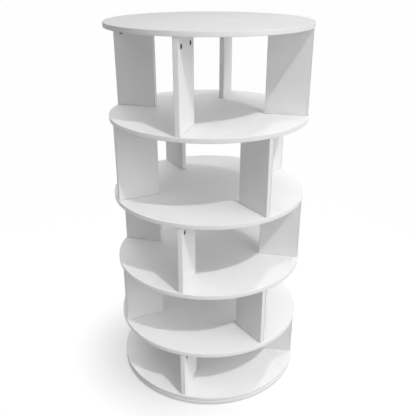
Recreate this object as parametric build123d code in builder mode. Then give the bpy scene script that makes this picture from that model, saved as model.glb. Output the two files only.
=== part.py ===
"""Revolving shelf tower: six round white boards, four radial dividers in each of five tiers,
standing on a thin base disc with a ring ball bearing let in between base and bottom shelf.

Millimetres, +Z up. The origin is on the floor under the tower's axis and the front is -Y.
Angles are measured from the front (-Y) towards +X, seen from above anticlockwise.
"""
import os
from math import cos, radians, sin

from build123d import *

os.makedirs("parts", exist_ok=True)

# Round boards
shelf_dia = 650
board = 15
bottom_shelf_thick = 12
edge_round = 1.2

# Clear heights of the tiers, from the bottom tier to the top tier
tier_clear = [172, 211, 230, 250, 268]

# Radial dividers: four to a tier, near square to each other, turned from tier to tier
divider_inner_r = 185
divider_outer_r = 322
divider_edge_round = 0.8
position_names = ["front", "right", "back", "left"]
odd_tier_angles = [-16, 78, 166, 254]
even_tier_angles = [34, 123, 210, 294]

# Base disc and its pads
base_dia = 650
base_thick = 12
base_gap = 2.5
pad_dia = 30
pad_thick = 3
pad_circle_r = 296
pad_count = 8

# Cam fittings and dowels that hold the boards together
hole_play = 0.05
cam_dia = 15
cam_bore_depth = 12.5
cam_recess = 0.5
cam_from_top = 28
cam_from_end = 28
cam_slot_long = 9
cam_slot_wide = 2
cam_slot_deep = 2.2
cam_cavity_dia = 7.4
bolt_thread_dia = 6
bolt_thread_long = 11
bolt_shank_dia = 5
bolt_neck_dia = 3.4
bolt_neck_long = 6
bolt_head_dia = 6.6
bolt_bore_dia = 7
dowel_dia = 8
dowel_long = 30
dowel_in_shelf = 8
dowel_end_chamfer = 0.8

# Long countersunk screws up through each shelf into the dividers' feet
long_screw_dia = 4
long_screw_long = 50
long_screw_head_dia = 8
screw_tip_long = 3
screw_drive_long = 4.6
screw_drive_wide = 1
screw_drive_deep = 1.4

# Ring bearing
bearing_outer_r = 150
bearing_inner_r = 106
bearing_flange = 2.5
bearing_height = 8.5
ball_circle_r = 128
ball_dia = 4
ball_count = 40
groove_play = 0.05
race_gap = 1.5            # between the two races where the balls sit
race_body_wide = 6
race_lift = 1.5           # each race stops short of the board that it doesn't carry
cage_thick = 0.8
cage_high = 5.1
pocket_deep = 3
pocket_play = 0.3
pocket_run_clear = 2
race_screw_count = 6
race_screw_dia = 3.5
race_screw_long = 8
race_screw_head_dia = 6.6
race_screw_drive_long = 4
access_hole_dia = 14

# Heights worked out from the sizes above
base_low = pad_thick
base_top = base_low + base_thick
stack_low = base_top + base_gap
shelf_low = [stack_low]
shelf_thick = [bottom_shelf_thick]
for clear in tier_clear:
    shelf_low.append(shelf_low[-1] + shelf_thick[-1] + clear)
    shelf_thick.append(board)
shelf_top = [low + thick for low, thick in zip(shelf_low, shelf_thick)]
tier_count = len(tier_clear)
shelf_names = ["bottom_shelf", "shelf_2", "shelf_3", "shelf_4", "shelf_5", "top_board"]

half_board = board / 2
divider_mid_r = (divider_inner_r + divider_outer_r) / 2
divider_wide = divider_outer_r - divider_inner_r
cam_radii = [divider_inner_r + cam_from_end, divider_outer_r - cam_from_end]


def outward(angle):
    """Unit vector from the axis towards the given angle."""
    return Vector(sin(radians(angle)), -cos(radians(angle)), 0)


def across(angle):
    """Unit vector square to a divider, towards larger angles."""
    return Vector(cos(radians(angle)), sin(radians(angle)), 0)


def is_even(tier):
    """True for tiers 2 and 4, which are counted from 1 while the lists start at 0."""
    return tier % 2 == 1


def divider_angles(tier):
    """Angles of a tier's four dividers."""
    return even_tier_angles if is_even(tier) else odd_tier_angles


def cam_side(tier, place):
    """Face that the cams are set in: +1 is the side of larger angles, -1 the other."""
    faces_back = is_even(tier) and position_names[place] in ("right", "left")
    return -1 if faces_back else 1


def radial_points(tier, radii):
    """Points on the four dividers' centre lines at the given radii."""
    points = []
    for angle in divider_angles(tier):
        for radius in radii:
            spot = outward(angle) * radius
            points.append((spot.X, spot.Y))
    return points


def divider_cam_planes(tier, place):
    """Planes on a divider's face at its two cams: Z out of the face, X up."""
    angle = divider_angles(tier)[place]
    side = cam_side(tier, place)
    height = shelf_low[tier + 1] - cam_from_top
    planes = []
    for radius in cam_radii:
        spot = outward(angle) * radius + across(angle) * (side * half_board)
        planes.append(Plane(origin=(spot.X, spot.Y, height), x_dir=(0, 0, 1), z_dir=across(angle) * side))
    return planes


def write(part, name):
    """Label a finished piece and write its file."""
    part.label = name
    export_step(part, f"parts/{name}.step")


# Base disc: annular pocket for the fixed race, pilot holes, and one hole to reach the other race
race_screw_outer_r = (ball_circle_r + race_gap / 2 + race_body_wide + bearing_outer_r) / 2
race_screw_inner_r = (ball_circle_r - race_gap / 2 - race_body_wide + bearing_inner_r) / 2
race_screw_turn = 180 / race_screw_count
pilot_deep = race_screw_long - bearing_flange

with BuildPart() as base_plate:
    with BuildSketch(Plane.XY.offset(base_low)):
        Circle(base_dia / 2)
    extrude(amount=base_thick)
    fillet(base_plate.edges().filter_by(GeomType.CIRCLE), edge_round)
    with BuildSketch(Plane.XY.offset(base_top)):
        Circle(bearing_outer_r + pocket_play)
        Circle(bearing_inner_r - pocket_run_clear, mode=Mode.SUBTRACT)
    extrude(amount=-pocket_deep, mode=Mode.SUBTRACT)
    with BuildSketch(Plane.XY.offset(base_top - pocket_deep)):
        with PolarLocations(race_screw_outer_r, race_screw_count):
            Circle(race_screw_dia / 2 + hole_play)
    extrude(amount=-pilot_deep, mode=Mode.SUBTRACT)
    with BuildSketch(Plane.XY.offset(base_low)):
        with PolarLocations(race_screw_inner_r, 1, start_angle=race_screw_turn):
            Circle(access_hole_dia / 2)
    extrude(amount=base_thick, mode=Mode.SUBTRACT)
write(base_plate.part, "base_plate")

with BuildPart() as foot_pads:
    with BuildSketch():
        with PolarLocations(pad_circle_r, pad_count):
            Circle(pad_dia / 2)
    extrude(amount=pad_thick)
write(foot_pads.part, "foot_pads")


# Ring bearing: two races with a ball groove between them, the balls and their cage
race_low = base_top - pocket_deep
race_top = race_low + bearing_height
ball_height = (race_low + race_top) / 2
groove_r = ball_dia / 2 + groove_play
outer_body_in = ball_circle_r + race_gap / 2
outer_body_out = outer_body_in + race_body_wide
inner_body_out = ball_circle_r - race_gap / 2
inner_body_in = inner_body_out - race_body_wide

with BuildPart() as bearing_outer_race:
    with BuildSketch(Plane.XZ):
        with BuildLine():
            Polyline(
                (outer_body_in, race_low),
                (bearing_outer_r, race_low),
                (bearing_outer_r, race_low + bearing_flange),
                (outer_body_out, race_low + bearing_flange),
                (outer_body_out, race_top - race_lift),
                (outer_body_in, race_top - race_lift),
                close=True,
            )
        make_face()
        with Locations((ball_circle_r, ball_height)):
            Circle(groove_r, mode=Mode.SUBTRACT)
    revolve(axis=Axis.Z)
    with Locations(Plane.XY.offset(race_low + bearing_flange)):
        with PolarLocations(race_screw_outer_r, race_screw_count):
            CounterSinkHole(race_screw_dia / 2 + hole_play, race_screw_head_dia / 2 + hole_play, bearing_flange, 90)
write(bearing_outer_race.part, "bearing_outer_race")

with BuildPart() as bearing_inner_race:
    with BuildSketch(Plane.XZ):
        with BuildLine():
            Polyline(
                (bearing_inner_r, race_top),
                (inner_body_out, race_top),
                (inner_body_out, race_low + race_lift),
                (inner_body_in, race_low + race_lift),
                (inner_body_in, race_top - bearing_flange),
                (bearing_inner_r, race_top - bearing_flange),
                close=True,
            )
        make_face()
        with Locations((ball_circle_r, ball_height)):
            Circle(groove_r, mode=Mode.SUBTRACT)
    revolve(axis=Axis.Z)
    with Locations(Plane(origin=(0, 0, race_top - bearing_flange), z_dir=(0, 0, -1))):
        with PolarLocations(race_screw_inner_r, race_screw_count, start_angle=race_screw_turn):
            CounterSinkHole(race_screw_dia / 2 + hole_play, race_screw_head_dia / 2 + hole_play, bearing_flange, 90)
write(bearing_inner_race.part, "bearing_inner_race")

with BuildPart() as bearing_balls:
    with Locations((0, 0, ball_height)):
        with PolarLocations(ball_circle_r, ball_count):
            Sphere(ball_dia / 2)
write(bearing_balls.part, "bearing_balls")

with BuildPart() as bearing_cage:
    with BuildSketch(Plane.XY.offset(ball_height - cage_high / 2)):
        Circle(ball_circle_r + cage_thick / 2)
        Circle(ball_circle_r - cage_thick / 2, mode=Mode.SUBTRACT)
    extrude(amount=cage_high)
    with Locations((0, 0, ball_height)):
        with PolarLocations(ball_circle_r, ball_count):
            Cylinder(groove_r, cage_thick * 4, rotation=(0, 90, 0), mode=Mode.SUBTRACT)
write(bearing_cage.part, "bearing_cage")


def make_screw(shank_dia, length, head_dia, drive_long):
    """Countersunk screw along +Z, its flat head at the origin and its point up."""
    head_high = (head_dia - shank_dia) / 2
    with BuildPart() as screw:
        with BuildSketch(Plane.XZ):
            with BuildLine():
                Polyline(
                    (0, 0),
                    (head_dia / 2, 0),
                    (shank_dia / 2, head_high),
                    (shank_dia / 2, length - screw_tip_long),
                    (0, length),
                    close=True,
                )
            make_face()
        revolve(axis=Axis.Z)
        with BuildSketch():
            Rectangle(drive_long, screw_drive_wide)
            Rectangle(screw_drive_wide, drive_long)
        extrude(amount=screw_drive_deep, mode=Mode.SUBTRACT)
    return screw.part


race_screw = make_screw(race_screw_dia, race_screw_long, race_screw_head_dia, race_screw_drive_long)
long_screw = make_screw(long_screw_dia, long_screw_long, long_screw_head_dia, screw_drive_long)

with BuildPart() as base_race_screws:
    with Locations(Plane(origin=(0, 0, race_low + bearing_flange), z_dir=(0, 0, -1))):
        with PolarLocations(race_screw_outer_r, race_screw_count):
            add(race_screw)
write(base_race_screws.part, "base_race_screws")

with BuildPart() as shelf_race_screws:
    with Locations((0, 0, race_top - bearing_flange)):
        with PolarLocations(race_screw_inner_r, race_screw_count, start_angle=race_screw_turn):
            add(race_screw)
write(shelf_race_screws.part, "shelf_race_screws")


# Round boards, drilled for the dividers that stand on them and for those that they cover
for level, name in enumerate(shelf_names):
    low = shelf_low[level]
    top = shelf_top[level]
    thick = shelf_thick[level]
    with BuildPart() as shelf:
        with BuildSketch(Plane.XY.offset(low)):
            Circle(shelf_dia / 2)
        extrude(amount=thick)
        fillet(shelf.edges().filter_by(GeomType.CIRCLE), edge_round)
        if level < tier_count:
            with BuildSketch(Plane.XY.offset(top)):
                with Locations(*radial_points(level, [divider_mid_r])):
                    Circle(dowel_dia / 2 + hole_play)
            extrude(amount=-dowel_in_shelf, mode=Mode.SUBTRACT)
            with Locations(Plane(origin=(0, 0, low), x_dir=(1, 0, 0), z_dir=(0, 0, -1))):
                with Locations(*[(x, -y) for x, y in radial_points(level, cam_radii)]):
                    CounterSinkHole(
                        long_screw_dia / 2 + hole_play, long_screw_head_dia / 2 + hole_play, thick, 90
                    )
        if level > 0:
            with BuildSketch(Plane.XY.offset(low)):
                with Locations(*radial_points(level - 1, [divider_mid_r])):
                    Circle(dowel_dia / 2 + hole_play)
            extrude(amount=dowel_in_shelf, mode=Mode.SUBTRACT)
            with BuildSketch(Plane.XY.offset(low)):
                with Locations(*radial_points(level - 1, cam_radii)):
                    Circle(bolt_thread_dia / 2 + hole_play)
            extrude(amount=bolt_thread_long, mode=Mode.SUBTRACT)
        else:
            with BuildSketch(Plane.XY.offset(low)):
                Circle(bearing_outer_r + pocket_run_clear)
                Circle(bearing_inner_r - pocket_play, mode=Mode.SUBTRACT)
            extrude(amount=pocket_deep, mode=Mode.SUBTRACT)
            with BuildSketch(Plane.XY.offset(low + pocket_deep)):
                with PolarLocations(race_screw_inner_r, race_screw_count, start_angle=race_screw_turn):
                    Circle(race_screw_dia / 2 + hole_play)
            extrude(amount=pilot_deep, mode=Mode.SUBTRACT)
    write(shelf.part, name)


# Dividers: bored from one face for the cams, from the top for their bolts, and for dowels and screws
for tier in range(tier_count):
    floor = shelf_top[tier]
    ceiling = shelf_low[tier + 1]
    cam_height = ceiling - cam_from_top
    screw_in_divider = long_screw_long - shelf_thick[tier]
    for place, position in enumerate(position_names):
        lie = Plane(origin=(0, 0, floor), x_dir=outward(divider_angles(tier)[place]), z_dir=(0, 0, 1))
        cam_points = [(radius, 0) for radius in cam_radii]
        with BuildPart() as divider:
            with BuildSketch(lie):
                with Locations((divider_mid_r, 0)):
                    Rectangle(divider_wide, board)
            extrude(amount=ceiling - floor)
            fillet(divider.edges().filter_by(Axis.Z), divider_edge_round)
            with Locations(*divider_cam_planes(tier, place)):
                Hole(cam_dia / 2 + hole_play, cam_bore_depth)
            with BuildSketch(lie.offset(cam_height - floor)):
                with Locations(*cam_points):
                    Circle(bolt_bore_dia / 2)
            extrude(amount=cam_from_top, mode=Mode.SUBTRACT)
            with BuildSketch(lie):
                with Locations(*cam_points):
                    Circle(long_screw_dia / 2 + hole_play)
            extrude(amount=screw_in_divider, mode=Mode.SUBTRACT)
            for end_height, direction in ((0, 1), (ceiling - floor, -1)):
                with BuildSketch(lie.offset(end_height)):
                    with Locations((divider_mid_r, 0)):
                        Circle(dowel_dia / 2 + hole_play)
                extrude(amount=direction * (dowel_long - dowel_in_shelf), mode=Mode.SUBTRACT)
        write(divider.part, f"divider_tier_{tier + 1}_{position}")


# Cam lock: a slotted drum, open upwards where its bolt's head drops in
with BuildPart() as cam_lock:
    with Locations((0, 0, -cam_recess)):
        Cylinder(cam_dia / 2, cam_bore_depth - cam_recess, align=(Align.CENTER, Align.CENTER, Align.MAX))
    fillet(cam_lock.edges().filter_by(GeomType.CIRCLE), divider_edge_round)
    with BuildSketch(Plane.XY.offset(-cam_recess)):
        Rectangle(cam_slot_long, cam_slot_wide)
        Rectangle(cam_slot_wide, cam_slot_long)
    extrude(amount=-cam_slot_deep, mode=Mode.SUBTRACT)
    with BuildSketch(Plane.YZ):
        with Locations((0, -half_board)):
            Circle(cam_cavity_dia / 2)
    extrude(amount=cam_dia, mode=Mode.SUBTRACT)
    with Locations((0, 0, -half_board)):
        Sphere(cam_cavity_dia / 2, mode=Mode.SUBTRACT)

# Cam bolt along +Z: round head at the origin, thread at the top end
bolt_long = cam_from_top + bolt_thread_long
with BuildPart() as cam_bolt:
    with BuildSketch(Plane.XZ):
        with BuildLine():
            Polyline(
                (0, 0),
                (bolt_neck_dia / 2, 0),
                (bolt_neck_dia / 2, bolt_neck_long),
                (bolt_shank_dia / 2, bolt_neck_long),
                (bolt_shank_dia / 2, cam_from_top),
                (bolt_thread_dia / 2, cam_from_top),
                (bolt_thread_dia / 2, bolt_long),
                (0, bolt_long),
                close=True,
            )
        make_face()
    revolve(axis=Axis.Z)
    Sphere(bolt_head_dia / 2)

with BuildPart() as dowel:
    Cylinder(dowel_dia / 2, dowel_long, align=(Align.CENTER, Align.CENTER, Align.MIN))
    chamfer(dowel.edges().filter_by(GeomType.CIRCLE), dowel_end_chamfer)

# Each tier's fittings: the alike ones of a tier are one group
for tier in range(tier_count):
    ceiling = shelf_low[tier + 1]
    dowel_lows = [shelf_top[tier] - dowel_in_shelf, ceiling + dowel_in_shelf - dowel_long]
    cam_planes = []
    for place in range(len(position_names)):
        cam_planes += divider_cam_planes(tier, place)

    with BuildPart() as cam_locks:
        with Locations(*cam_planes):
            add(cam_lock.part)
    write(cam_locks.part, f"cam_locks_tier_{tier + 1}")

    with BuildPart() as cam_bolts:
        with Locations(*[(x, y, ceiling - cam_from_top) for x, y in radial_points(tier, cam_radii)]):
            add(cam_bolt.part)
    write(cam_bolts.part, f"cam_bolts_tier_{tier + 1}")

    with BuildPart() as dowels:
        for dowel_low in dowel_lows:
            with Locations(*[(x, y, dowel_low) for x, y in radial_points(tier, [divider_mid_r])]):
                add(dowel.part)
    write(dowels.part, f"dowels_tier_{tier + 1}")

    with BuildPart() as divider_screws:
        with Locations(*[(x, y, shelf_low[tier]) for x, y in radial_points(tier, cam_radii)]):
            add(long_screw)
    write(divider_screws.part, f"divider_screws_tier_{tier + 1}")
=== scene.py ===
import math

import bpy
from mathutils import Matrix, Vector


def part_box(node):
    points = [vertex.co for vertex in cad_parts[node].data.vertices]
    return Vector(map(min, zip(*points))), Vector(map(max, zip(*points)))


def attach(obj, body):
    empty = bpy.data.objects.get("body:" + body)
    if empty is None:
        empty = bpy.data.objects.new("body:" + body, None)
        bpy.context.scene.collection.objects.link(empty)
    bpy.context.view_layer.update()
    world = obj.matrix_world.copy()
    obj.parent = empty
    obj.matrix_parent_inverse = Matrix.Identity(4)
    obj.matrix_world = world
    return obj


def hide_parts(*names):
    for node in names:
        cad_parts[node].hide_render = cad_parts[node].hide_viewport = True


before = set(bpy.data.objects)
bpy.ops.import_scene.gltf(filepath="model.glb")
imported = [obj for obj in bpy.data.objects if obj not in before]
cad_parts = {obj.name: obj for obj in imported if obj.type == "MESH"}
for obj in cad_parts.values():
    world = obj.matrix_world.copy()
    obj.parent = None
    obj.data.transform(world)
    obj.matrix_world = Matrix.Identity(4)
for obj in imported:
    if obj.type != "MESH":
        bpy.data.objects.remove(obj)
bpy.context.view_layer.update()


# Base disc
# A 12 mm disc of white melamine-faced chipboard, sawn round and edged with a white plastic band.
# It stands on pads, and a ring pocket in its top takes the fixed race of the bearing.

ROUND_STEPS = 192            # straight steps in a board's rim
BAND_THICK = 0.0013          # plastic band glued round every sawn edge
RIM_ROUND = 0.0012           # scraped edge of the band on the round boards
SEAM_WIDE = 0.00025          # fine line where the band meets the face
SEAM_DEEP = 0.0001
EDGE_STEPS = 4               # straight steps in a rounded edge
FLAT = 0.99                  # a face counts as square to an axis when its normal is this near it
SMOOTH_BELOW = math.radians(25)
HOLE_STEPS = 24              # straight steps round a small hole
NOISE_LOW = 0.3              # most of a noise's values lie between these two
NOISE_HIGH = 0.7
POCKET_DEEP = 0.003          # groove for a bearing race, in this disc and in the bottom shelf
GROOVE_OVER = 0.003          # how far the cutter of a groove or of the access hole stands out of the face
POCKET_INNER_R = 0.104
POCKET_OUTER_R = 0.1503
ACCESS_HOLE_R = 0.007
RACE_SCREW_TURN = math.radians(30)
INNER_SCREW_R = 0.1133


def new_finish(name):
    """A node material with a Principled shader and Object coordinates to work from."""
    finish = bpy.data.materials.new(name)
    finish.use_nodes = True
    shader = finish.node_tree.nodes["Principled BSDF"]
    place = finish.node_tree.nodes.new("ShaderNodeTexCoord")
    return finish, shader, place.outputs["Object"]


def mapped(finish, place, scale):
    """The object's coordinates, stretched by a scale for each axis."""
    mapping = finish.node_tree.nodes.new("ShaderNodeMapping")
    mapping.inputs["Scale"].default_value = scale
    finish.node_tree.links.new(place, mapping.inputs["Vector"])
    return mapping.outputs["Vector"]


def grain(finish, place, scale, detail=3.0):
    """A noise of the given scale per metre."""
    noise = finish.node_tree.nodes.new("ShaderNodeTexNoise")
    noise.inputs["Scale"].default_value = scale
    noise.inputs["Detail"].default_value = detail
    finish.node_tree.links.new(place, noise.inputs["Vector"])
    return noise.outputs["Fac"]


def tint(finish, factor, dark, light, low=NOISE_LOW, high=NOISE_HIGH):
    """Two colours, blended by a noise between the given levels."""
    ramp = finish.node_tree.nodes.new("ShaderNodeValToRGB")
    ramp.color_ramp.elements[0].position = low
    ramp.color_ramp.elements[1].position = high
    ramp.color_ramp.elements[0].color = (*dark, 1)
    ramp.color_ramp.elements[1].color = (*light, 1)
    finish.node_tree.links.new(factor, ramp.inputs["Fac"])
    return ramp.outputs["Color"]


def levels(finish, factor, low, high):
    """A noise spread over a range of values."""
    spread = finish.node_tree.nodes.new("ShaderNodeMapRange")
    spread.inputs["From Min"].default_value = NOISE_LOW
    spread.inputs["From Max"].default_value = NOISE_HIGH
    spread.inputs["To Min"].default_value = low
    spread.inputs["To Max"].default_value = high
    finish.node_tree.links.new(factor, spread.inputs["Value"])
    return spread.outputs["Result"]


def relief(finish, shader, heights, depth):
    """Bumps of the given depth in metres, one height after another."""
    last = None
    for height, share in heights:
        bump = finish.node_tree.nodes.new("ShaderNodeBump")
        bump.inputs["Strength"].default_value = share
        bump.inputs["Distance"].default_value = depth
        finish.node_tree.links.new(height, bump.inputs["Height"])
        if last is not None:
            finish.node_tree.links.new(last, bump.inputs["Normal"])
        last = bump.outputs["Normal"]
    finish.node_tree.links.new(last, shader.inputs["Normal"])


def melamine_finish():
    """Matt white melamine paper: a pearl texture under a millimetre across, and faint unevenness."""
    finish, shader, place = new_finish("white_melamine")
    cloud = grain(finish, place, 7.0)
    pearl = grain(finish, place, 1400.0, 2.0)
    waves = grain(finish, place, 45.0, 2.0)
    link = finish.node_tree.links.new
    link(tint(finish, cloud, (0.818, 0.819, 0.819), (0.838, 0.839, 0.837)), shader.inputs["Base Color"])
    link(levels(finish, waves, 0.55, 0.63), shader.inputs["Roughness"])
    shader.inputs["Specular IOR Level"].default_value = 0.2
    relief(finish, shader, [(waves, 0.25), (pearl, 0.35)], 0.00004)
    return finish


def band_finish(name, stretch):
    """White plastic edging, a little glossier than the faces, with fine scraper lines along it."""
    finish, shader, place = new_finish(name)
    lines = grain(finish, mapped(finish, place, stretch), 1.0, 2.0)
    cloud = grain(finish, place, 9.0)
    link = finish.node_tree.links.new
    link(tint(finish, cloud, (0.812, 0.813, 0.815), (0.832, 0.833, 0.833)), shader.inputs["Base Color"])
    link(levels(finish, lines, 0.42, 0.52), shader.inputs["Roughness"])
    shader.inputs["Specular IOR Level"].default_value = 0.25
    relief(finish, shader, [(lines, 0.3)], 0.00003)
    return finish


def chipboard_finish():
    """Raw chipboard where a board is bored or routed: pale and brown chips pressed together."""
    finish, shader, place = new_finish("raw_chipboard")
    chips = finish.node_tree.nodes.new("ShaderNodeTexVoronoi")
    chips.inputs["Scale"].default_value = 620.0
    link = finish.node_tree.links.new
    link(mapped(finish, place, (1.0, 1.0, 2.4)), chips.inputs["Vector"])
    link(tint(finish, chips.outputs["Color"], (0.26, 0.19, 0.13), (0.50, 0.40, 0.29), 0.2, 0.8),
         shader.inputs["Base Color"])
    shader.inputs["Roughness"].default_value = 0.85
    relief(finish, shader, [(chips.outputs["Distance"], 0.6)], 0.0003)
    return finish


melamine = melamine_finish()
rim_band = band_finish("rim_band", (25.0, 25.0, 3200.0))
chipboard = chipboard_finish()


def drop_selection():
    """Nothing stays selected before a new piece is started."""
    bpy.ops.object.select_all(action="DESELECT")


def pick(piece, kind, test):
    """In edit mode, selects only the faces or edges that pass the test."""
    bpy.ops.mesh.select_mode(type=kind)
    bpy.ops.mesh.select_all(action="DESELECT")
    bpy.ops.object.mode_set(mode="OBJECT")
    elements = piece.data.polygons if kind == "FACE" else piece.data.edges
    for element in elements:
        element.select = test(element)
    bpy.ops.object.mode_set(mode="EDIT")


def rise(piece, edge):
    """How far an edge climbs."""
    start, end = (piece.data.vertices[corner].co for corner in edge.vertices)
    return abs(start.z - end.z)


def settle(piece):
    """Puts the piece's place and size into its mesh."""
    drop_selection()
    piece.select_set(True)
    bpy.context.view_layer.objects.active = piece
    bpy.ops.object.transform_apply(location=True, rotation=True, scale=True)


def coat(piece, finishes, choose):
    """Gives the piece its finishes, and each face the one that choose names."""
    for finish in finishes:
        piece.data.materials.append(finish)
    for face in piece.data.polygons:
        face.material_index = choose(face)


def saw_disc(name, low, high, radius):
    """A banded round board: rounded rim, with a fine seam line on each face where the band ends."""
    drop_selection()
    thick = high - low
    bpy.ops.mesh.primitive_cylinder_add(
        vertices=ROUND_STEPS,
        radius=radius,
        depth=thick,
        end_fill_type="NGON",
        location=(0, 0, low + thick / 2),
    )
    disc = bpy.context.object
    disc.name = name
    settle(disc)
    bpy.ops.object.mode_set(mode="EDIT")
    pick(disc, "EDGE", lambda edge: rise(disc, edge) < thick / 2)
    bpy.ops.mesh.bevel(offset=RIM_ROUND, segments=EDGE_STEPS, affect="EDGES")
    pick(disc, "FACE", lambda face: abs(face.normal.z) > FLAT and face.area > radius * radius)
    bpy.ops.mesh.inset(thickness=BAND_THICK - RIM_ROUND)
    bpy.ops.mesh.inset(thickness=SEAM_WIDE, depth=-SEAM_DEEP)
    bpy.ops.mesh.inset(thickness=SEAM_WIDE, depth=SEAM_DEEP)
    bpy.ops.object.mode_set(mode="OBJECT")
    coat(disc, [melamine, rim_band, chipboard], lambda face: 0 if face.area > radius * radius else 1)
    return disc


def bit(radius, low, high, x, y, wide_radius=None, steps=HOLE_STEPS):
    """A cutter for an upright round hole. A wide radius at its foot makes it a countersink."""
    drop_selection()
    bpy.ops.mesh.primitive_cone_add(
        vertices=steps,
        radius1=radius if wide_radius is None else wide_radius,
        radius2=radius,
        depth=high - low,
        location=(x, y, (low + high) / 2),
    )
    cutter = bpy.context.object
    settle(cutter)
    return cutter


def ring_bit(inner, outer, low, high):
    """A cutter for a round groove: a disc with its middle taken out."""
    ring = bit(outer, low, high, 0, 0, steps=ROUND_STEPS)
    cut_away(ring, [bit(inner, low - (high - low), high + (high - low), 0, 0, steps=ROUND_STEPS)])
    return ring


def cut_away(piece, cutters, lining=None):
    """Takes the cutters out of the piece. The walls of the holes get the lining, where one is named."""
    drop_selection()
    for cutter in cutters:
        cutter.select_set(True)
        if lining is not None:
            cutter.data.materials.clear()
            cutter.data.materials.append(lining)
    bpy.context.view_layer.objects.active = cutters[0]
    if len(cutters) > 1:
        bpy.ops.object.join()
    tool = bpy.context.object
    drop_selection()
    piece.select_set(True)
    bpy.context.view_layer.objects.active = piece
    hole = piece.modifiers.new("holes", "BOOLEAN")
    hole.operation = "DIFFERENCE"
    hole.solver = "MANIFOLD"
    hole.material_mode = "TRANSFER"
    hole.object = tool
    bpy.ops.object.modifier_apply(modifier=hole.name)
    bpy.data.objects.remove(tool)


def finish_board(piece, body, *nodes):
    """Smooths the rounded edges and hands the board over in place of its CAD node."""
    drop_selection()
    piece.select_set(True)
    bpy.context.view_layer.objects.active = piece
    bpy.ops.object.shade_smooth_by_angle(angle=SMOOTH_BELOW)
    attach(piece, body)
    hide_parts(*nodes)


base_low, base_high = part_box("base_plate")
base_disc = saw_disc("base_disc", base_low.z, base_high.z, base_high.x)
pocket_floor = base_high.z - POCKET_DEEP
access_spot = Vector((math.cos(RACE_SCREW_TURN), math.sin(RACE_SCREW_TURN))) * INNER_SCREW_R
cut_away(base_disc, [
    ring_bit(POCKET_INNER_R, POCKET_OUTER_R, pocket_floor, base_high.z + GROOVE_OVER),
    bit(ACCESS_HOLE_R, base_low.z - GROOVE_OVER, pocket_floor + GROOVE_OVER / 2, *access_spot),
], chipboard)
finish_board(base_disc, "base", "base_plate")


# Foot pads
# Eight black rubber pads, 30 mm across, stuck under the base disc near its rim.

def rubber_finish():
    """Black non-slip rubber with a fine pebbled skin."""
    finish, shader, place = new_finish("pad_rubber")
    pebbles = grain(finish, place, 1800.0, 2.0)
    dust = grain(finish, place, 60.0)
    link = finish.node_tree.links.new
    link(tint(finish, dust, (0.022, 0.022, 0.023), (0.045, 0.044, 0.043)), shader.inputs["Base Color"])
    link(levels(finish, dust, 0.65, 0.85), shader.inputs["Roughness"])
    relief(finish, shader, [(pebbles, 0.6)], 0.00008)
    return finish


def dress(finish, *nodes):
    """Puts a finish on CAD pieces whose shape already is the real one."""
    for node in nodes:
        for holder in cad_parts[node].material_slots:
            holder.material = finish


dress(rubber_finish(), "foot_pads")


# Ring bearing
# Two turned aluminium races with forty steel balls between them, spaced by a nylon cage.
# The outer race is screwed to the base disc and the inner race to the bottom shelf.

def metal_finish(name, dark, light, rough, stretch, depth):
    """A metal with fine tool lines. The stretch says how close the lines lie along each axis."""
    finish, shader, place = new_finish(name)
    lines = grain(finish, mapped(finish, place, stretch), 1.0, 2.0)
    haze = grain(finish, place, 120.0)
    link = finish.node_tree.links.new
    link(tint(finish, haze, dark, light), shader.inputs["Base Color"])
    link(levels(finish, lines, *rough), shader.inputs["Roughness"])
    shader.inputs["Metallic"].default_value = 1.0
    relief(finish, shader, [(lines, 0.5)], depth)
    return finish


def nylon_finish():
    """Natural nylon, slightly milky, with a moulded skin."""
    finish, shader, place = new_finish("cage_nylon")
    skin = grain(finish, place, 900.0, 2.0)
    link = finish.node_tree.links.new
    link(tint(finish, skin, (0.82, 0.80, 0.73), (0.88, 0.87, 0.81)), shader.inputs["Base Color"])
    shader.inputs["Roughness"].default_value = 0.5
    shader.inputs["Subsurface Weight"].default_value = 0.1
    shader.inputs["Subsurface Radius"].default_value = (0.002, 0.0015, 0.001)
    relief(finish, shader, [(skin, 0.3)], 0.00005)
    return finish


race_metal = metal_finish(
    "race_aluminium", (0.72, 0.72, 0.74), (0.80, 0.80, 0.81), (0.26, 0.38), (300.0, 300.0, 5000.0), 0.00002
)
ball_metal = metal_finish(
    "ball_steel", (0.70, 0.70, 0.72), (0.76, 0.76, 0.77), (0.06, 0.12), (900.0, 900.0, 900.0), 0.000002
)
screw_metal = metal_finish(
    "plated_steel", (0.60, 0.59, 0.55), (0.72, 0.71, 0.68), (0.24, 0.40), (2500.0, 2500.0, 2500.0), 0.00001
)
dress(race_metal, "bearing_outer_race", "bearing_inner_race")
dress(ball_metal, "bearing_balls")
dress(nylon_finish(), "bearing_cage")
dress(screw_metal, "base_race_screws", "shelf_race_screws")


# Dividers
# Four upright 15 mm panels to a tier, set like spokes. The two upright edges are banded.
# One face of each is bored for two cam locks; bolts, dowels and long screws run into its ends.

TIERS = 5
PLACES = ["front", "right", "back", "left"]
POST_ROUND = 0.0008          # scraped edge of the band on the dividers
SAWN_CHIP = 0.0009           # the sawn foot and head have their sharp edges taken off
PANEL_THICK = 0.015
CAM_FROM_END = 0.028
CAM_FROM_TOP = 0.028
CAM_BORE_R = 0.00755
CAM_BORE_DEEP = 0.0125
BOLT_BORE_R = 0.0035
SCREW_BORE_R = 0.00205
DOWEL_BORE_R = 0.00405
DOWEL_IN_PANEL = 0.022
SCREW_LONG = 0.050
CUTTER_OVER = 0.001          # how far a cutter stands out of the face that it enters
CAM_BORE_STEPS = 48
END_SLOPE = 0.3              # a face that looks up or down by more than this is part of the foot or head
FACES_BACK = [("right", 2), ("left", 2), ("right", 4), ("left", 4)]     # cams in the other face
ALONG_X = math.pi / 2        # panels and cams are made along +X, a quarter round from the front

post_band = band_finish("post_band", (3200.0, 3200.0, 25.0))


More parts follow.
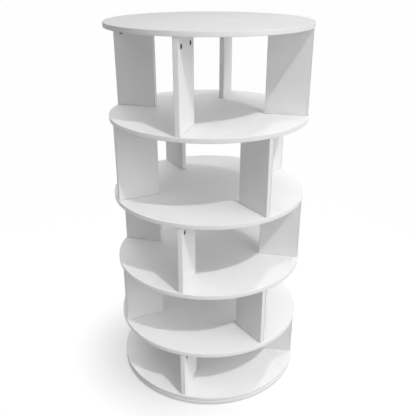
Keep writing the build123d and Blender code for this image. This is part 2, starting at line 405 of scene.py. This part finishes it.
def standing(tier, place):
    """Where a divider stands: its angle from the front, and how far its middle is from the axis."""
    low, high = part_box(f"divider_tier_{tier}_{place}")
    middle = (low + high) / 2
    return math.atan2(middle.x, -middle.y), math.hypot(middle.x, middle.y)


def front_panel(tier):
    """Inner and outer radius, foot and head heights of a tier's front divider. The other three match it."""
    low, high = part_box(f"divider_tier_{tier}_front")
    angle, reach = standing(tier, "front")
    across = PANEL_THICK * abs(math.sin(angle))
    half = (high.y - low.y - across) / abs(math.cos(angle)) / 2
    return reach - half, reach + half, low.z, high.z


def side_bit(radius, depth, x, y_face, z):
    """A cutter for a flat-bottomed hole, entering a panel's face that looks along +Y."""
    drop_selection()
    bpy.ops.mesh.primitive_cylinder_add(
        vertices=CAM_BORE_STEPS,
        radius=radius,
        depth=depth + CUTTER_OVER,
        location=(x, y_face - depth / 2 + CUTTER_OVER / 2, z),
        rotation=(math.pi / 2, 0, 0),
    )
    cutter = bpy.context.object
    settle(cutter)
    return cutter


def make_panel(inner, outer, foot, head, shelf_thick):
    """A banded panel along +X with its cam face towards +Y, bored for its fittings."""
    drop_selection()
    bpy.ops.mesh.primitive_cube_add(size=1, location=((inner + outer) / 2, 0, (foot + head) / 2))
    panel = bpy.context.object
    panel.scale = (outer - inner, PANEL_THICK, head - foot)
    settle(panel)
    bpy.ops.object.mode_set(mode="EDIT")
    points = panel.data.vertices
    pick(panel, "EDGE", lambda edge: rise(panel, edge) > (head - foot) / 2)
    bpy.ops.mesh.bevel(offset=POST_ROUND, segments=EDGE_STEPS, affect="EDGES")
    middle_height = (foot + head) / 2
    pick(panel, "EDGE", lambda edge: all(
        abs(abs(points[corner].co.z - middle_height) - (head - foot) / 2) < CUTTER_OVER / 2
        for corner in edge.vertices
    ))
    bpy.ops.mesh.bevel(offset=SAWN_CHIP, segments=1, affect="EDGES")
    seams = [inner + BAND_THICK, outer - BAND_THICK]
    for seam in seams:
        for side in (-SEAM_WIDE, 0, SEAM_WIDE):
            bpy.ops.mesh.select_all(action="SELECT")
            bpy.ops.mesh.bisect(plane_co=(seam + side, 0, 0), plane_no=(1, 0, 0))
    pick(panel, "EDGE", lambda edge: all(
        min(abs(points[corner].co.x - seam) for seam in seams) < SEAM_WIDE / 4
        for corner in edge.vertices
    ))
    narrow = 1 - 2 * SEAM_DEEP / PANEL_THICK
    bpy.ops.transform.resize(value=(1, narrow, 1), center_override=(0, 0, 0))
    bpy.ops.object.mode_set(mode="OBJECT")
    # The dark raw board on the foot and head chamfers paints a thin line of shade where each divider meets a
    # shelf.
    coat(panel, [melamine, post_band, chipboard], lambda face: panel_zone(face, seams))
    cams = [inner + CAM_FROM_END, outer - CAM_FROM_END]
    middle = (inner + outer) / 2
    cam_height = head - CAM_FROM_TOP
    bores = [side_bit(CAM_BORE_R, CAM_BORE_DEEP, x, PANEL_THICK / 2, cam_height) for x in cams]
    bores += [bit(SCREW_BORE_R, foot - CUTTER_OVER, foot + SCREW_LONG - shelf_thick, x, 0) for x in cams]
    bores.append(bit(DOWEL_BORE_R, foot - CUTTER_OVER, foot + DOWEL_IN_PANEL, middle, 0))
    bores.append(bit(DOWEL_BORE_R, head - DOWEL_IN_PANEL, head + CUTTER_OVER, middle, 0))
    cut_away(panel, bores, chipboard)
    cut_away(panel, [bit(BOLT_BORE_R, cam_height, head + CUTTER_OVER, x, 0) for x in cams], chipboard)
    return panel


def panel_zone(face, seams):
    """Raw board on the sawn foot and head and on their chamfers, band beyond the seams, melamine on the two
    faces. The bare board on the chamfers is real, and the dark line it draws along each joint with a shelf
    is also painted shade in the crease.
    """
    if abs(face.normal.z) > END_SLOPE:
        return 2
    return 0 if seams[0] < face.center.x < seams[1] else 1


def turned_copy(piece, name, angle, mirrored=False):
    """A copy of a panel or a cam, turned to its place. Mirrored, its cam face is the other one."""
    copy = piece.copy()
    copy.data = piece.data.copy()
    copy.name = name
    bpy.context.collection.objects.link(copy)
    turn = Matrix.Rotation(angle - ALONG_X, 4, "Z")
    if mirrored:
        turn = turn @ Matrix.Scale(-1, 4, (0, 1, 0))
    copy.data.transform(turn)
    if mirrored:
        copy.data.flip_normals()
    return copy


for tier in range(1, TIERS + 1):
    shelf = "bottom_shelf" if tier == 1 else f"shelf_{tier}"
    shelf_low, shelf_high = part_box(shelf)
    panel = make_panel(*front_panel(tier), shelf_high.z - shelf_low.z)
    for place in PLACES:
        angle = standing(tier, place)[0]
        divider = turned_copy(panel, f"panel_tier_{tier}_{place}", angle, (place, tier) in FACES_BACK)
        finish_board(divider, "stack", f"divider_tier_{tier}_{place}")
    bpy.data.objects.remove(panel)


# Round boards
# The bottom shelf is a 12 mm disc and the other five are 15 mm, sawn from white chipboard and banded.
# Each is drilled where the dividers below and above it are bolted, dowelled and screwed.

SHELVES = ["bottom_shelf", "shelf_2", "shelf_3", "shelf_4", "shelf_5", "top_board"]
DOWEL_IN_SHELF = 0.008
BOLT_HOLE_R = 0.00305
BOLT_IN_SHELF = 0.011
SCREW_HEAD_R = 0.00405
SHELF_POCKET_INNER_R = 0.1057
SHELF_POCKET_OUTER_R = 0.152


def spots(tier, offset):
    """Points on a tier's four dividers, so far outwards from their middles."""
    found = []
    for place in PLACES:
        angle, reach = standing(tier, place)
        out = reach + offset
        found.append((out * math.sin(angle), -out * math.cos(angle)))
    return found


inner, outer = front_panel(1)[:2]
half_span = (outer - inner) / 2 - CAM_FROM_END
for level, name in enumerate(SHELVES):
    low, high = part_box(name)
    board = saw_disc("round_" + name, low.z, high.z, high.x)
    bottom = low.z - CUTTER_OVER
    top = high.z + CUTTER_OVER
    holes = []
    sinks = []
    if level < TIERS:
        screws = spots(level + 1, -half_span) + spots(level + 1, half_span)
        holes += [bit(DOWEL_BORE_R, high.z - DOWEL_IN_SHELF, top, x, y) for x, y in spots(level + 1, 0)]
        holes += [bit(SCREW_BORE_R, bottom, top, x, y) for x, y in screws]
        sink_top = low.z + SCREW_HEAD_R - SCREW_BORE_R
        sinks = [bit(SCREW_BORE_R, bottom, sink_top, x, y, SCREW_HEAD_R + CUTTER_OVER) for x, y in screws]
    if level > 0:
        bolts = spots(level, -half_span) + spots(level, half_span)
        holes += [bit(DOWEL_BORE_R, bottom, low.z + DOWEL_IN_SHELF, x, y) for x, y in spots(level, 0)]
        holes += [bit(BOLT_HOLE_R, bottom, low.z + BOLT_IN_SHELF, x, y) for x, y in bolts]
    else:
        groove_from = low.z - GROOVE_OVER
        groove_to = low.z + POCKET_DEEP
        holes.append(ring_bit(SHELF_POCKET_INNER_R, SHELF_POCKET_OUTER_R, groove_from, groove_to))
    cut_away(board, holes, chipboard)
    if sinks:
        cut_away(board, sinks, chipboard)
    finish_board(board, "stack", name)


# Cam fittings, dowels and long screws
# Cams are zinc drums coloured nearly black, 15 mm across, turned by a screwdriver in their cross slots.
# They grip the heads of steel bolts screwed into the board above. Dowels are plain beech.

CAM_R = 0.0075
CAM_RECESS = 0.0005
CAM_ROUND = 0.0006
CAM_RIM = 0.0011
CAM_DISH = 0.0004
CAM_SLOT_LONG = 0.009
CAM_SLOT_WIDE = 0.002
CAM_SLOT_DEEP = 0.0022
CAM_MOUTH_R = 0.0037
CAM_STEPS = 64
MOUTH_STEPS = 32
CAM_SMOOTH_BELOW = math.radians(30)


def beech_finish():
    """Raw beech with a long straight grain and short dark flecks."""
    finish, shader, place = new_finish("beech")
    along = grain(finish, mapped(finish, place, (900.0, 900.0, 30.0)), 1.0, 4.0)
    link = finish.node_tree.links.new
    link(tint(finish, along, (0.56, 0.40, 0.25), (0.76, 0.60, 0.42)), shader.inputs["Base Color"])
    shader.inputs["Roughness"].default_value = 0.7
    relief(finish, shader, [(along, 0.4)], 0.0001)
    return finish


def square_bit(wide, deep, high, x, y, z):
    """A box-shaped cutter."""
    drop_selection()
    bpy.ops.mesh.primitive_cube_add(size=1, location=(x, y, z))
    block = bpy.context.object
    block.scale = (wide, deep, high)
    settle(block)
    return block


def make_cam(x, face, z):
    """One cam drum, its slotted end towards +Y and its mouth for the bolt's head up."""
    drop_selection()
    long = CAM_BORE_DEEP - CAM_RECESS
    bpy.ops.mesh.primitive_cylinder_add(
        vertices=CAM_STEPS,
        radius=CAM_R,
        depth=long,
        location=(x, face - long / 2, z),
        rotation=(-math.pi / 2, 0, 0),
    )
    drum = bpy.context.object
    settle(drum)
    bpy.ops.object.mode_set(mode="EDIT")
    points = drum.data.vertices
    pick(drum, "EDGE", lambda edge: points[edge.vertices[0]].co.y * points[edge.vertices[1]].co.y > 0)
    bpy.ops.mesh.bevel(offset=CAM_ROUND, segments=3, affect="EDGES")
    pick(drum, "FACE", lambda end: end.normal.y > FLAT and end.area > CAM_R * CAM_R)
    bpy.ops.mesh.inset(thickness=CAM_RIM)
    bpy.ops.mesh.inset(thickness=CAM_ROUND / 2, depth=-CAM_DISH)
    bpy.ops.object.mode_set(mode="OBJECT")
    drum.data.materials.append(cam_metal)
    slot_y = face - CAM_SLOT_DEEP / 2
    cut_away(drum, [square_bit(CAM_SLOT_LONG, CAM_SLOT_DEEP, CAM_SLOT_WIDE, x, slot_y, z)])
    cut_away(drum, [square_bit(CAM_SLOT_WIDE, CAM_SLOT_DEEP, CAM_SLOT_LONG, x, slot_y, z)])
    cut_away(drum, [square_bit(CAM_RIM, CAM_DISH * 2, CAM_RIM * 2, x, face, z + CAM_R)])
    cut_away(drum, [bit(CAM_MOUTH_R, z, z + CAM_R * 2, x, 0, steps=MOUTH_STEPS)])
    drop_selection()
    bpy.ops.mesh.primitive_uv_sphere_add(
        segments=MOUTH_STEPS,
        ring_count=MOUTH_STEPS // 2,
        radius=CAM_MOUTH_R,
        location=(x, 0, z),
    )
    hollow = bpy.context.object
    settle(hollow)
    cut_away(drum, [hollow])
    return drum


# The cams are coloured nearly black, far darker than bare zinc.
cam_metal = metal_finish(
    "zinc_cam", (0.020, 0.020, 0.021), (0.045, 0.045, 0.047), (0.45, 0.62), (1500.0, 1500.0, 1500.0), 0.00004
)
dowel_wood = beech_finish()
first_head = front_panel(1)[3]
pair = [make_cam(inner + CAM_FROM_END, PANEL_THICK / 2 - CAM_RECESS, first_head - CAM_FROM_TOP)]
pair.append(turned_copy(pair[0], "second_cam", ALONG_X))
pair[1].data.transform(Matrix.Translation((2 * half_span, 0, 0)))
for tier in range(1, TIERS + 1):
    head = front_panel(tier)[3]
    drums = []
    for place in PLACES:
        angle = standing(tier, place)[0]
        for number, cam in enumerate(pair):
            drum = turned_copy(cam, f"cam_{tier}_{place}_{number}", angle, (place, tier) in FACES_BACK)
            drum.data.transform(Matrix.Translation((0, 0, head - first_head)))
            drums.append(drum)
    drop_selection()
    for drum in drums:
        drum.select_set(True)
    bpy.context.view_layer.objects.active = drums[0]
    bpy.ops.object.join()
    cams_of_tier = bpy.context.object
    cams_of_tier.name = f"cams_tier_{tier}"
    bpy.ops.object.shade_smooth_by_angle(angle=CAM_SMOOTH_BELOW)
    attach(cams_of_tier, "stack")
    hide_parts(f"cam_locks_tier_{tier}")
    dress(screw_metal, f"cam_bolts_tier_{tier}", f"divider_screws_tier_{tier}")
    dress(dowel_wood, f"dowels_tier_{tier}")
for cam in pair:
    bpy.data.objects.remove(cam)


# Floor, light and camera
# A pale floor that fades into the white surroundings, lit almost from overhead, so that the shadow stays
# round the tower's foot. The tower has a hard lamp high at the right front, a weaker one at the right back
# and broad soft ones round it. The top board has soft lamps of its own, so that it is no brighter.

FLOOR_WIDE = 80.0
FLOOR_GREY = 0.60
FLOOR_GLOW = 0.495
# Each lamp: degrees round from the front to the right, degrees up from the floor, power, degrees across
FLOOR_LAMP = (85, 86.5, 2.6, 16)
KEY_LAMP = (35, 54.5, 1.05, 2.0)
BACK_LAMP = (126.5, 57.3, 0.56, 3.0)
SOFT_LAMPS = [
    (45, 15, 0.90, 50),
    (45, 50, 0.60, 50),
    (90, 15, 0.64, 50),
    (180, 50, 0.83, 50),
    (225, 50, 0.66, 50),
    (315, 50, 0.78, 50),
]
TOP_LAMPS = [(45, 20, 1.75, 50), (330, 55, 0.40, 50), (180, 60, 0.85, 50)]
CAMERA_PLACE = (-0.003, -1.7708, 1.3891)
CAMERA_DOWN = math.radians(24.03)
CAMERA_LENS = 47.17          # this and the sensor in millimetres
SENSOR_WIDE = 36.0


def seen_directly(tree):
    """1 where the camera, a mirror image or a see-through ray looks, 0 for light that falls on things."""
    path = tree.nodes.new("ShaderNodeLightPath")
    mirrored = tree.nodes.new("ShaderNodeMath")
    mirrored.operation = "MAXIMUM"
    tree.links.new(path.outputs["Is Camera Ray"], mirrored.inputs[0])
    tree.links.new(path.outputs["Is Glossy Ray"], mirrored.inputs[1])
    through = tree.nodes.new("ShaderNodeMath")
    through.operation = "MAXIMUM"
    tree.links.new(mirrored.outputs[0], through.inputs[0])
    tree.links.new(path.outputs["Is Transmission Ray"], through.inputs[1])
    return through.outputs[0]


drop_selection()
bpy.ops.mesh.primitive_plane_add(size=FLOOR_WIDE)
floor = bpy.context.object
floor.name = "floor"
floor_finish, floor_shader = new_finish("pale_floor")[:2]
floor_shader.inputs["Base Color"].default_value = (FLOOR_GREY, FLOOR_GREY, FLOOR_GREY, 1)
floor_shader.inputs["Roughness"].default_value = 0.9
floor_shader.inputs["Specular IOR Level"].default_value = 0.0
floor_shader.inputs["Emission Color"].default_value = (1, 1, 1, 1)
floor_tree = floor_finish.node_tree
glow = floor_tree.nodes.new("ShaderNodeMath")
glow.operation = "MULTIPLY"
glow.inputs[1].default_value = FLOOR_GLOW
floor_tree.links.new(seen_directly(floor_tree), glow.inputs[0])
floor_tree.links.new(glow.outputs[0], floor_shader.inputs["Emission Strength"])
floor.data.materials.append(floor_finish)

world = bpy.data.worlds.new("studio")
bpy.context.scene.world = world
world.use_nodes = True
sky = world.node_tree.nodes["Background"]
world.node_tree.links.new(seen_directly(world.node_tree), sky.inputs["Strength"])
sky.inputs["Color"].default_value = (1, 1, 1, 1)

pieces = [shown for shown in bpy.context.scene.objects if shown.type == "MESH" and shown != floor]
under_top = bpy.data.collections.new("under_top")
only_top = bpy.data.collections.new("only_top")
only_floor = bpy.data.collections.new("only_floor")
only_floor.objects.link(floor)
for piece in pieces:
    group = only_top if piece.name == "round_top_board" else under_top
    group.objects.link(piece)


def hang_lamp(name, lit, round_by, up_by, power, wide):
    """A far lamp that lights one group of things. Everything in the scene casts its shadow."""
    lamp_data = bpy.data.lights.new(name, "SUN")
    lamp_data.energy = power
    lamp_data.angle = math.radians(wide)
    lamp = bpy.data.objects.new(name, lamp_data)
    level = math.cos(math.radians(up_by))
    towards = Vector((
        math.sin(math.radians(round_by)) * level,
        -math.cos(math.radians(round_by)) * level,
        math.sin(math.radians(up_by)),
    ))
    lamp.rotation_euler = towards.to_track_quat("Z", "Y").to_euler()
    bpy.context.scene.collection.objects.link(lamp)
    lamp.light_linking.receiver_collection = lit


hang_lamp("floor_lamp", only_floor, *FLOOR_LAMP)
hang_lamp("key_lamp", under_top, *KEY_LAMP)
hang_lamp("key_lamp_top", only_top, *KEY_LAMP)
hang_lamp("back_lamp", under_top, *BACK_LAMP)
for lit, lamps in [(under_top, SOFT_LAMPS), (only_top, TOP_LAMPS)]:
    for number, lamp in enumerate(lamps):
        hang_lamp(f"soft_{lit.name}_{number}", lit, *lamp)

camera_data = bpy.data.cameras.new("camera")
camera_data.lens = CAMERA_LENS
camera_data.sensor_width = SENSOR_WIDE
camera = bpy.data.objects.new("camera", camera_data)
camera.location = CAMERA_PLACE
camera.rotation_euler = (math.pi / 2 - CAMERA_DOWN, 0, 0)
bpy.context.scene.collection.objects.link(camera)
bpy.context.scene.camera = camera
bpy.context.scene.view_settings.view_transform = "Standard"
